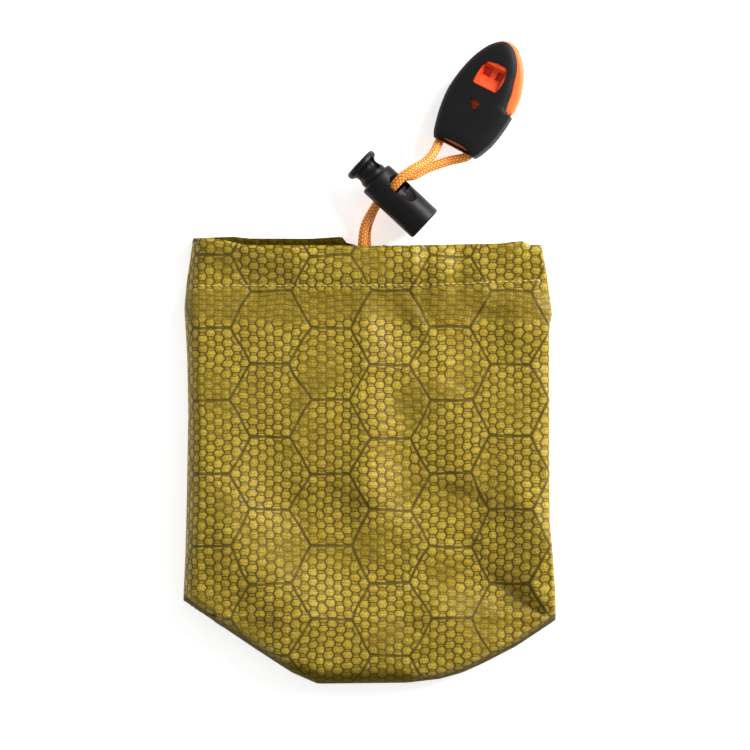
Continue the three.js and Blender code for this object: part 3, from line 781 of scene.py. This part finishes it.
def front_height(x, y):
    full = sides_full(x, y) * bottom_full(x, y)
    peak = peak_height(y)
    z = EDGE_MIDDLE + (peak - EDGE_MIDDLE) * full
    relief = right_ridge(x, y) + sum(fold_rise(x, y, *fold) for fold in FOLDS)
    relief += sum(facet_rise(x, y, *facet) for facet in FACETS)
    z += relief * smooth(full * 1.6)
    stitch = along(STITCH_LINE, x)
    hem = (y - stitch) / (TOP_ROW - stitch)
    if 0 < hem < 1:
        z += HEM_CROWN * math.sin(math.pi * hem) * full
    z -= STITCH_DIP * math.exp(-(((y - stitch) / STITCH_DIP_HALF) ** 2)) * full
    ripple = noise.noise(Vector((x / 9, y / 9, 3.0))) + 0.5 * noise.noise(Vector((x / 4, y / 4, 7.0)))
    return z + RIPPLE * ripple * full


def plan_point(share, row, rim):
    """Plan place on the sack: rows are straight near the mouth and follow the bottom edge below."""
    rise = clamp01((row - BOTTOM_ROW) / (TOP_ROW - BOTTOM_ROW))
    hang, top = (1 - rise) ** 3, rise**8

    def offset(x):
        lowest = along(BOTTOM_EDGE, x) - EDGE_OUT
        return (lowest - BOTTOM_ROW) * hang + (along(rim, x) - TOP_ROW) * top

    left = along(LEFT_SIDE, row + offset(BOTTOM_ENDS[0])) - EDGE_OUT
    right = along(RIGHT_SIDE, row + offset(BOTTOM_ENDS[1])) + EDGE_OUT
    return lerp(left, right, share), row + offset(lerp(*BOTTOM_ENDS, share))


FRONT_COLUMNS = 116
BACK_HALF_COLUMNS = 58
BODY_ROWS = 132
HEM_ROWS = 14
ACROSS = FRONT_COLUMNS + 2 * BACK_HALF_COLUMNS
BACK_SHARE = BACK_HALF_COLUMNS / ACROSS
BODY_SHARE = BODY_ROWS / (BODY_ROWS + HEM_ROWS)
ROW_SPREAD = 1.1  # above 1, rows lie closer together at the bottom edge
HEM_FOLD = 15.6  # the mouth is turned in this far
HEM_GAP = 1.1
FRONT_SCALLOP, BACK_SCALLOP = 0.6, 1.7  # how far the rims wave up and down
BACK_LIFT = 0.02  # of the back off the floor
CURL_RISE, CURL_BUMPS = 2.6, 0.7
NOTCH_BOTTOM, NOTCH_TOP = 72.8, 82.2
NOTCH_SIDES = {-1: (-9.0, -6.0), 1: (6.2, 5.2)}  # at the channel's ends, and above them at the rim
CHANNEL_Y, CHANNEL_HALF, CHANNEL_LENGTH, CHANNEL_RISE = 78.4, 3.9, 14.0, 4.6
SEAM_X = -1.0


def near_edges(t):
    """Spreads columns so that they lie closer together at the side folds."""
    return t - 0.5 * math.sin(2 * math.pi * t) / (2 * math.pi)


def notch_x(side, y):
    """Where the back ends at its middle: at the seam, or above it at that side of the notch."""
    if y <= NOTCH_BOTTOM:
        return SEAM_X
    low, high = NOTCH_SIDES[side]
    wide = lerp(low, high, smooth((y - NOTCH_TOP + 1.5) / 3))
    return lerp(SEAM_X, wide, smooth((y - NOTCH_BOTTOM) / 1.6) ** 0.5)


def channel_lift(x, y):
    """How far the hem's inner layer stands up over the cord at the channel's two ends."""
    away = abs(y - CHANNEL_Y) / CHANNEL_HALF
    if away >= 1:
        return 0.0
    left, right = NOTCH_SIDES[-1][0], NOTCH_SIDES[1][0]
    beyond = abs(x - (left + right) / 2) - (right - left) / 2
    reach = clamp01(1.6 - beyond / CHANNEL_LENGTH)
    return CHANNEL_RISE * math.sqrt(1 - away * away) * smooth(reach)


def back_rim_curl(x, y):
    """The back's rim curls up behind the front's, left of the cord, and turns its lit side away."""
    bumps = CURL_BUMPS * noise.noise(Vector((x / 2.4, y / 2.0, 7.0)))
    curl = smooth((y - 85.0) / 4.2) * smooth((x + 70.0) / 10) * smooth((-3.0 - x) / 4)
    return (CURL_RISE + bumps) * curl


def cloth_place(u, v):
    """Where a point of the grid is in the cloth. u runs once round the sack from the back's middle,
    v from the bottom edge up to the rim and then down again inside the hem. Gives the row, the share
    of the way in from rim to hem, the back's side or 0 on the front, and the share across."""
    row = lerp(BOTTOM_ROW, TOP_ROW, min(1.0, v / BODY_SHARE) ** ROW_SPREAD)
    inside = max(0.0, (v - BODY_SHARE) / (1 - BODY_SHARE))
    if BACK_SHARE <= u <= 1 - BACK_SHARE:
        return row, inside, 0, near_edges((u - BACK_SHARE) / (1 - 2 * BACK_SHARE))
    if u < 0.5:
        return row, inside, -1, near_edges(0.5 * ((BACK_SHARE - u) / BACK_SHARE))
    return row, inside, 1, near_edges(1 - 0.5 * ((u - 1 + BACK_SHARE) / BACK_SHARE))


def cloth_point(u, v):
    """Where a point of the grid lies, in millimetres."""
    row, inside, side, share = cloth_place(u, v)
    at_side_fold = share in (0.0, 1.0)
    if side == 0:
        x, y = plan_point(share, row, FRONT_RIM)
        at_fold = at_side_fold or row == BOTTOM_ROW
        z = EDGE_MIDDLE if at_fold else front_height(x, min(y, TOP_ROW))
    else:
        x, y = plan_point(share, row, BACK_RIM)
        centre_x, _ = plan_point(0.5, row, BACK_RIM)
        edge_x, _ = plan_point(0.0 if side < 0 else 1.0, row, BACK_RIM)
        x = lerp(edge_x, notch_x(side, y), (x - edge_x) / (centre_x - edge_x))
        edge = min(abs(x - edge_x), (y - along(BOTTOM_EDGE, x)) * 0.85)
        z = EDGE_MIDDLE * (1 - smooth(edge / (2 * EDGE_MIDDLE))) + BACK_LIFT
    if inside > 0:
        turn = smooth(inside * 6)
        y -= HEM_FOLD * inside
        gap = HEM_GAP * turn * (1 - 0.6 * smooth((inside - 0.85) / 0.15))
        if side:
            z += gap + channel_lift(x, y) * turn
        else:
            above = front_height(x, min(y, TOP_ROW))
            z = (min(z, above) if inside < 0.2 else front_height(x, y)) - gap
    else:
        wave = smooth((row - TOP_ROW + 5) / 5) * (BACK_SCALLOP if side else FRONT_SCALLOP)
        y += wave * noise.noise(Vector((x / 2.2, 5.0 if side else -5.0, 1.0)))
    if side:
        z += back_rim_curl(x, y)
    if at_side_fold:
        x += EDGE_TUCK if x < 0 else -EDGE_TUCK
    if row == BOTTOM_ROW:
        y += EDGE_TUCK
    return x, y, z


def painted_cloth_shade(u, v):
    """Painted shade on the cloth: along the bottom edge, and on the back's rim inside the mouth."""
    x, y, _ = cloth_point(u, v)
    inside_mouth = 0.0 if abs(u - 0.5) < 0.25 else smooth((y - 84.5) / 1.5)
    from_bottom = (y - along(BOTTOM_EDGE, x)) / lerp(2.6, 6.5, smooth((30 - abs(x + 8)) / 12))
    return max(inside_mouth, smooth(1.4 - from_bottom))


def cloth_flat(u, v):
    """Place in the flat cloth, as a share of its cut size, lying on the front as it is seen."""
    row, inside, side, share = cloth_place(u, v)
    wall = peak_height(row) - EDGE_MIDDLE
    if side == 0:
        x, y = plan_point(share, row, FRONT_RIM)
        down_side = wall * (1 - sides_full(x, y))
        y -= wall * (1 - bottom_full(x, y))
        x += math.copysign(down_side, x)
    else:
        x, y = plan_point(share, row, BACK_RIM)
        fold = plan_point(0.0 if side < 0 else 1.0, row, BACK_RIM)[0]
        x = 2 * fold - x + math.copysign(wall, fold)
    return x / FLAT[0], (y + HEM_FOLD * inside) / FLAT[1]


def sack():
    bm = mapped_grid(ACROSS, BODY_ROWS + HEM_ROWS, cloth_point, cloth_flat, painted_cloth_shade)
    weld(bm, 0.02)
    bmesh.ops.recalc_face_normals(bm, faces=bm.faces)
    piece = piece_from(bm, "honeycomb_ripstop_sack", ripstop)
    wall = piece.modifiers.new("wall", "SOLIDIFY")
    wall.thickness = WALL * MM
    wall.offset = -1
    wall.material_offset = 1
    piece.data.materials.append(coated_inside_painted_shade)
    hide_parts("sack_cloth")
    return piece


cloth = sack()


# Hem stitches: one short bar of thread for each, over the dip that it pulls into the cloth
STITCH_PITCH = 2.6
STITCH_LENGTH = 1.9
STITCH_RADIUS = 0.3
FIRST_STITCH, LAST_STITCH = -70.0, 69.0
STITCH_LIFT = 0.26  # of the front's stitches above the cloth
BACK_STITCH_Z = 0.24
STITCH_PROBE = 0.9  # the cloth's slope is taken this far either side of a stitch


def stitches():
    """Both rows, front and back, pitched and turned a little unevenly."""
    size = Matrix.Diagonal((STITCH_LENGTH / 2, STITCH_RADIUS, STITCH_RADIUS * 0.6, 1 / MM)) * MM
    bm = bmesh.new()
    for face_up in (True, False):
        x = FIRST_STITCH
        while x < LAST_STITCH:
            y = along(STITCH_LINE, x) + 0.25 * noise.noise(Vector((x / 7, 2.0, 0.0)))
            if face_up:
                z, next_z = (front_height(x + d, y) for d in (-STITCH_PROBE, STITCH_PROBE))
            else:
                z = next_z = BACK_STITCH_Z
            made = bmesh.ops.create_uvsphere(bm, u_segments=8, v_segments=6, radius=1.0)["verts"]
            lean = math.atan2(next_z - z, 2 * STITCH_PROBE)
            turn = (hashed(round(x * 10), 1, 5) - 0.5) * 0.14
            move = (
                Matrix.Translation(place(x, y, (z + next_z) / 2 + (STITCH_LIFT if face_up else 0.0)))
                @ Matrix.Rotation(turn, 4, "Z")
                @ Matrix.Rotation(-lean, 4, "Y")
                @ size
            )
            bmesh.ops.transform(bm, matrix=move, verts=made)
            x += STITCH_PITCH * (0.96 + 0.08 * hashed(round(x * 10), 2, 3))
    piece = piece_from(bm, "hem_stitches", thread)
    return piece


hem_stitches = stitches()

# Cord lock: both pieces are turned about the lock's own X axis, which runs from the barrel's mouth
# to its closed end. The flank that the strands come out of leans HOLE_LEAN from the lock's Y.
BARREL_RADIUS = 7.5
PLUNGER_RADIUS = 5.7
BARREL_BORE = PLUNGER_RADIUS + 0.3
BARREL_LENGTH = 27.3
HOLE_SPAN = (5.1, 12.4)
HOLE_HIGH, HOLE_CORNER = 9.0, 2.6
SCOOP_RADII = (7.0, 4.6, 2.1)  # the shallow hollows that the strands' slot opens into
SCOOP_X, SCOOP_OUT = 11.0, 7.9
SLOT_SPAN = (CORD_AT - 6.8, CORD_AT + 3.0)
SLOT_HIGH, SLOT_CORNER = 9.4, 1.2
BARREL_PROFILE = [
    (25.7, 0), (25.7, BARREL_BORE), (0.5, BARREL_BORE), (0.15, 6.15), (0.0, 6.45),
    (0.05, 6.9), (0.25, 7.2), (0.6, 7.4), (1.1, 7.48), (2.0, BARREL_RADIUS),
    (8.0, BARREL_RADIUS), (16.0, BARREL_RADIUS), (26.3, BARREL_RADIUS), (26.7, 7.42), (27.0, 7.2),
    (27.2, 6.9), (BARREL_LENGTH, 6.4), (BARREL_LENGTH, 0),
]
PLUNGER_PROFILE = [
    (-9.2, 0), (-9.2, 5.7), (-9.1, 6.3), (-8.8, 6.8), (-8.3, 7.08), (-7.4, 7.1), (-6.8, 6.95),
    (-6.4, 6.6), (-6.1, 6.1), (-5.8, 5.6), (-5.3, 5.2), (-4.6, 5.0), (-3.8, 5.0),
    (-3.1, 5.15), (-2.5, 5.4), (-2.0, 5.62), (-1.6, PLUNGER_RADIUS), (14.4, PLUNGER_RADIUS),
    (14.6, 5.5), (14.6, 0),
]

leaning = Matrix.Rotation(math.radians(HOLE_LEAN - 90), 4, "X")


def hole_cutter():
    """The strands' way through the barrel: a rounded slot swept along their middle line."""
    rows = lock_crossing()
    ends = [(rows[0][0] - 9, rows[0][1], 0.0), *rows, (rows[-1][0] + 9, rows[-1][1], 0.0)]
    outline = rounded_box(HOLE_SPAN[1] - HOLE_SPAN[0], HOLE_HIGH, HOLE_CORNER)
    middle = sum(HOLE_SPAN) / 2
    bm = bmesh.new()
    rings = []
    for y, z, climb in ends:
        across, up = math.sin(climb), math.cos(climb)
        spots = [place(middle + a, y - b * across, z + b * up) for a, b in outline]
        rings.append([bm.verts.new(spot) for spot in spots])
    for ring, following in zip(rings, rings[1:]):
        for k in range(len(ring)):
            n = (k + 1) % len(ring)
            bm.faces.new([ring[k], ring[n], following[n], following[k]])
    close_ends(bm)
    return piece_from(bm, "cutter", core_orange, body=None)


def lock_barrel():
    piece = spun(BARREL_PROFILE, "cord_lock_barrel", lock_black)
    lean = math.radians(HOLE_LEAN)
    scoops = []
    for out in (SCOOP_OUT, -SCOOP_OUT):
        scoop = ball((0, 0, 0), SCOOP_RADII)
        turn = Matrix.Translation(Vector((SCOOP_X, out * math.cos(lean), out * math.sin(lean))))
        move_mesh(scoop, turn @ leaning)
        scoops.append(scoop)
    carve(piece, [hole_cutter(), *scoops])
    move_mesh(piece, lock_frame)
    soften(piece, 0.3, 3)
    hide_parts("lock_barrel")
    return piece


def lock_plunger():
    piece = spun(PLUNGER_PROFILE, "cord_lock_plunger", lock_black, body="plunger")
    outline = rounded_box(SLOT_SPAN[1] - SLOT_SPAN[0], SLOT_HIGH, SLOT_CORNER)
    slot = prism([(x + sum(SLOT_SPAN) / 2, y) for x, y in outline], -15, 15)
    move_mesh(slot, leaning)
    hollow = ball((-4.2, 4.1, 4.4), (2.7, 2.4, 3.0))  # in the neck, on the upper side
    carve(piece, [slot, hollow])
    move_mesh(piece, lock_frame)
    soften(piece, 0.3, 3)
    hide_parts("lock_plunger")
    return piece


barrel = lock_barrel()
plunger = lock_plunger()


# Whistle, in its own frame: Y runs from the cord's end to the tip, Z up out of the front
WHISTLE_HALF = 5.5
CORE_HALF = 3.2
BAND_FROM = 22.0  # the orange core shows round the flank from here to the tip
WHISTLE_WIDTHS = [
    (0.0, 9.0), (1.6, 10.0), (5.0, 11.1), (11.0, 12.5), (18.0, 13.4), (25.0, 13.3), (32.0, 12.1),
    (38.0, 10.1), (43.0, 7.4), (46.2, 4.5), (47.6, 2.2), (48.1, 0.0),
]
# Tables of (y, distance): how far outlines are let out or drawn in on the way from base to tip
RIGHT_EXTRA = [(0.0, 0.3), (8.0, 1.3), (20.0, 1.4), (30.0, 1.9), (40.0, 1.2), (48.1, 0.0)]
BAND_INSET = [(21.4, 0.0), (22.6, 2.1), (26.0, 2.8), (34.0, 2.9), (42.0, 1.6), (48.1, 0.7)]
LEFT_INSET = [(22.0, 0.0), (30.0, 0.3), (48.1, 0.4)]
OPEN_FLANK = [(BAND_FROM - 0.2, 0.0), (BAND_FROM + 0.2, -6.0)]
BEHIND_WALL = [(BAND_FROM, 1.5), (BAND_FROM + 0.9, 0.0)]
OUTLINE_STEPS = 44
SPINE = (9.0, 38.0)  # ends of the middle line that the faces curve towards


def whistle_side(inset, band, extra):
    """One side's outline from the base round to the tip, drawn in by inset and by the table band,
    and out by the table extra."""
    edge, _ = rounded_line([(half, y, 0.0) for y, half in WHISTLE_WIDTHS], 0.5)
    picked = [edge[round(k * (len(edge) - 1) / OUTLINE_STEPS)] for k in range(OUTLINE_STEPS + 1)]
    side = []
    for k, spot in enumerate(picked):
        ahead, behind = picked[min(k + 1, OUTLINE_STEPS)], picked[max(k - 1, 0)]
        along_edge = (ahead - behind).normalized()
        draw = inset + along(band, spot.y) - along(extra, spot.y)
        x, y = spot.x - along_edge.y * draw, spot.y + along_edge.x * draw
        side.append((max(0.0, x) if k < OUTLINE_STEPS else 0.0, max(inset, y)))
    return side


def whistle_outline(inset, right_band=((0.0, 0.0),), left_band=((0.0, 0.0),)):
    """The whole outline. Its right side is the fuller, as the rolled whistle shows that flank."""
    right = whistle_side(inset, right_band, RIGHT_EXTRA)
    left = whistle_side(inset, left_band, [(0.0, 0.0)])
    left = [(-x, y) for x, y in reversed(left[:-1])]
    base = [(lerp(left[-1][0], right[0][0], k / 16), inset) for k in range(1, 16)]
    return right + left + base


def pillow(outline, half_thick, power, name, material):
    """A closed cushion-like slab: full outline at mid height, and faces that curve over towards the
    middle line. A high power gives flat faces with tight edges."""
    rows = 26

    # the rim's share, kept as the attribute level, which the orange core's material paints paler as a
    # painted highlight
    def rim(_, v):
        return smooth((abs(math.cos(math.pi * (v - 0.5))) ** (2 / power) - 0.7) / 0.12)

    def surface(u, v):
        x, y = outline[round(u * len(outline)) % len(outline)]
        turn = math.pi * (v - 0.5)
        out = abs(math.cos(turn)) ** (2 / power) if 0 < v < 1 else 0.0
        z = half_thick * math.copysign(abs(math.sin(turn)) ** (2 / power), turn)
        spine = min(SPINE[1], max(SPINE[0], y))
        return x * out, lerp(spine, y, out), z

    bm = mapped_grid(len(outline), rows, surface, level=rim)
    weld(bm, 0.004)
    bmesh.ops.recalc_face_normals(bm, faces=bm.faces)
    return piece_from(bm, name, material)


# The sound window's corners, anticlockwise from the lower right: its sides are bowed
WINDOW = [
    (5.4, 26.8), (6.3, 29.2), (6.6, 31.4), (6.5, 33.2), (6.0, 35.4), (5.1, 37.4), (4.4, 38.1),
    (0.4, 38.1), (-3.1, 37.3), (-4.3, 35.8), (-5.0, 33.0), (-5.3, 30.0), (-5.2, 27.3), (-4.6, 26.6),
]


def window_outline(inset):
    middle = Vector((0.6, 32.2))
    corners = [Vector(corner) for corner in WINDOW]
    return [tuple(corner - (corner - middle).normalized() * inset) for corner in corners]


def cord_tunnel(radius):
    """A cutter along the cord's way through the base, run out straight at both mouths."""
    inside = [whistle_frame.inverted() @ p for p in eye_line()]
    mouths = [Vector((-CORD_EYE_HALF, -7, 0)), Vector((CORD_EYE_HALF, -7, 0))]
    line, _ = rounded_line([mouths[0], *inside, mouths[1]], 0.6)
    bm = tube(line, 24, radius=lambda u, v: radius)
    return piece_from(bm, "cutter", core_orange, body=None)


def whistle_shell():
    outline = whistle_outline(0.0, BAND_INSET, LEFT_INSET)
    piece = pillow(outline, WHISTLE_HALF, 4.2, "whistle_moulded_shell", shell_black)
    hollow = whistle_outline(1.3, OPEN_FLANK, OPEN_FLANK)
    angles = [k * math.pi / 18 for k in range(36)]
    lip = [(0.6 + 8.6 * math.cos(a), -0.9 + 3.1 * math.sin(a)) for a in angles]
    peep = [
        (-2.4, 20.7), (-2.7, 20.1), (-2.3, 19.5), (0.2, 17.4), (0.9, 17.2), (1.4, 17.7),
        (2.2, 20.0), (2.1, 20.6), (1.5, 20.9),
    ]
    cutters = [
        prism(hollow, -CORE_HALF - 0.3, CORE_HALF + 0.3),
        prism(window_outline(0.0), 0.0, 8.0),
        prism(peep, 0.0, 8.0),
        prism(lip, CORE_HALF - 0.2, 8.0),
        prism(rounded_box(17.6, 8.0, 2.0), -2.9, 2.9),
        cord_tunnel(CORD_DIAMETER / 2 + 0.7),
    ]
    carve(piece, cutters)
    move_mesh(piece, whistle_frame)
    soften(piece, 0.35, 3)
    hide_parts("whistle_shell")
    return piece


def oblong(centre, half, run, rise):
    """A straight cutter along the whistle: centre and half width in X, ends in Y and in Z."""
    left, right = centre - half, centre + half
    corners = [(left, run[0]), (right, run[0]), (right, run[1]), (left, run[1])]
    return prism(corners, *rise)


def whistle_core():
    outline = whistle_outline(0.1, BEHIND_WALL, BEHIND_WALL)
    piece = pillow(outline, CORE_HALF, 5.0, "whistle_moulded_core", core_orange)
    carve(piece, [prism(window_outline(0.2), 1.0, 4.95)], "UNION")
    # The well: a ramp down from the foot of the window, and a level part with the slots.
    ramp_side = [(27.5, 6.0), (27.5, 4.3), (31.3, 2.5), (36.3, 2.5), (36.3, 6.0)]
    well = prism(ramp_side, -4.3, 5.6)
    move_mesh(well, Matrix(((0, 0, 1, 0), (1, 0, 0, 0), (0, 1, 0, 0), (0, 0, 0, 1))))
    slots = [oblong(c, half, (31.6, 35.2), (0.3, 4.0)) for c, half in ((-2.0, 1.7), (3.4, 1.5))]
    blow = [oblong(c, 1.5, (35.0, 50.0), (0.2, 1.7)) for c in (-2.0, 3.4)]
    carve(piece, [well, *slots, *blow, cord_tunnel(CORD_DIAMETER / 2 + 0.55)])
    move_mesh(piece, whistle_frame)
    soften(piece, 0.25, 2)
    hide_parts("whistle_core")
    return piece


shell = whistle_shell()
core = whistle_core()


# Floor, backdrop light and lamps
def floor():
    bm = bmesh.new()
    bmesh.ops.create_grid(bm, x_segments=1, y_segments=1, size=3.0)
    # An opal acrylic light table: white, and lit a little from below so that shadows stay pale.
    material, add = new_material("opal_acrylic_light_table")
    at = add("TexCoord").outputs["Object"]
    tone = add("TexNoise", {"Vector": at, "Scale": 3.0})
    colour = add("ValToRGB", [tone], [(0.0, "#fafafa"), (1.0, "#ffffff")])
    glow = {"Emission Color": (1.0, 1.0, 1.0, 1.0), "Emission Strength": 0.62}
    finished(material, {"Base Color": colour, "Roughness": 0.9, **glow})
    piece = piece_from(bm, "floor", material, body=None)


floor()

LAMPS = [
    # name, place in metres, size in metres, watts
    ("from the upper right", (0.85, 0.6, 0.55), 0.6, 20.0),
    ("from the foot", (-0.15, -1.1, 0.9), 0.7, 0.8),
]
for name, at, size, watts in LAMPS:
    lamp_data = bpy.data.lights.new(name, "AREA")
    lamp_data.size = size
    lamp_data.energy = watts
    lamp = bpy.data.objects.new(name, lamp_data)
    lamp.location = at
    lamp.rotation_euler = (Vector(at) - place(0, 20, 0)).to_track_quat("Z", "Y").to_euler()
    bpy.context.scene.collection.objects.link(lamp)

world = bpy.data.worlds.new("studio")
world.use_nodes = True
world.node_tree.nodes["Background"].inputs[0].default_value = (1.0, 1.0, 1.0, 1.0)
world.node_tree.nodes["Background"].inputs[1].default_value = 0.38
bpy.context.scene.world = world
bpy.context.scene.view_settings.view_transform = "Standard"
